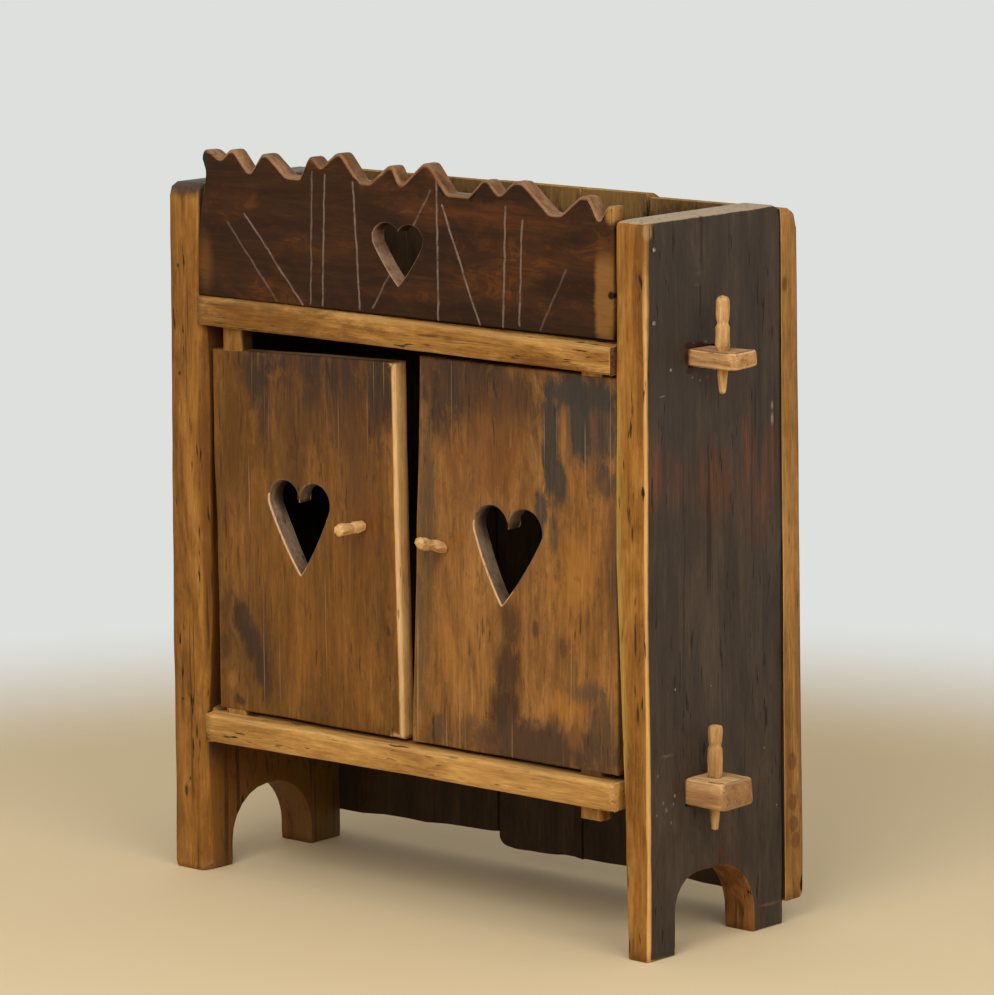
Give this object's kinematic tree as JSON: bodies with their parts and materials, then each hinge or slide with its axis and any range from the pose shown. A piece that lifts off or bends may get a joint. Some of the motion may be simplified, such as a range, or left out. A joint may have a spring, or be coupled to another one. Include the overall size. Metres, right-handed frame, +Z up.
{
  "type": "jelly cupboard",
  "caption": "Low knock-down plank cupboard with heart-pierced doors on wooden pivots, a toothed frieze before an open tray, arched feet and pegged through tenons.",
  "frame": {"origin": "on the floor under the middle of the whole piece, with doors shut and pegs home", "axes": "+X to the right seen from the front, +Y to the back, +Z up; the front faces -Y"},
  "size_m": [0.773, 0.2784, 0.796],
  "materials": {
    "side_wood": "dark worn wax",
    "shelf_wood": "worn honey wax",
    "frieze_wood": "dark worn wax",
    "door_wood": "worn brown wax",
    "back_wood": "dark, dry",
    "peg_wood": "bare, whittled",
    "iron": "forged, dull"
  },
  "bodies": {
    "carcass": {"side_left": "side_wood", "side_right": "side_wood", "bottom_shelf": "shelf_wood", "top_shelf": "shelf_wood", "frieze_board": "frieze_wood", "frieze_nails": "iron", "back_plank_1": "back_wood", "back_plank_2": "back_wood", "back_plank_3": "back_wood", "back_plank_4": "back_wood", "back_nails": "iron"},
    "left_door": {"left_door": "door_wood", "left_door_knob": "peg_wood"},
    "right_door": {"right_door": "door_wood", "right_door_knob": "peg_wood"},
    "bottom_left_peg": {"bottom_left_peg": "peg_wood"},
    "bottom_right_peg": {"bottom_right_peg": "peg_wood"},
    "top_left_peg": {"top_left_peg": "peg_wood"},
    "top_right_peg": {"top_right_peg": "peg_wood"}
  },
  "joints": [
    {"name": "left_door_swing", "type": "hinge", "parent": "carcass", "child": "left_door", "pos_m": [-0.248, -0.08925, 0.182], "axis": [0, 0, -1], "range_deg": [0, 140]},
    {"name": "right_door_swing", "type": "hinge", "parent": "carcass", "child": "right_door", "pos_m": [0.248, -0.08925, 0.182], "axis": [0, 0, 1], "range_deg": [0, 140]},
    {"name": "bottom_left_peg_lift", "type": "slide", "parent": "carcass", "child": "bottom_left_peg", "axis": [0, 0, 1], "range_m": [0, 0.059]},
    {"name": "bottom_right_peg_lift", "type": "slide", "parent": "carcass", "child": "bottom_right_peg", "axis": [0, 0, 1], "range_m": [0, 0.059]},
    {"name": "top_left_peg_lift", "type": "slide", "parent": "carcass", "child": "top_left_peg", "axis": [0, 0, 1], "range_m": [0, 0.049]},
    {"name": "top_right_peg_lift", "type": "slide", "parent": "carcass", "child": "top_right_peg", "axis": [0, 0, 1], "range_m": [0, 0.049]}
  ]
}
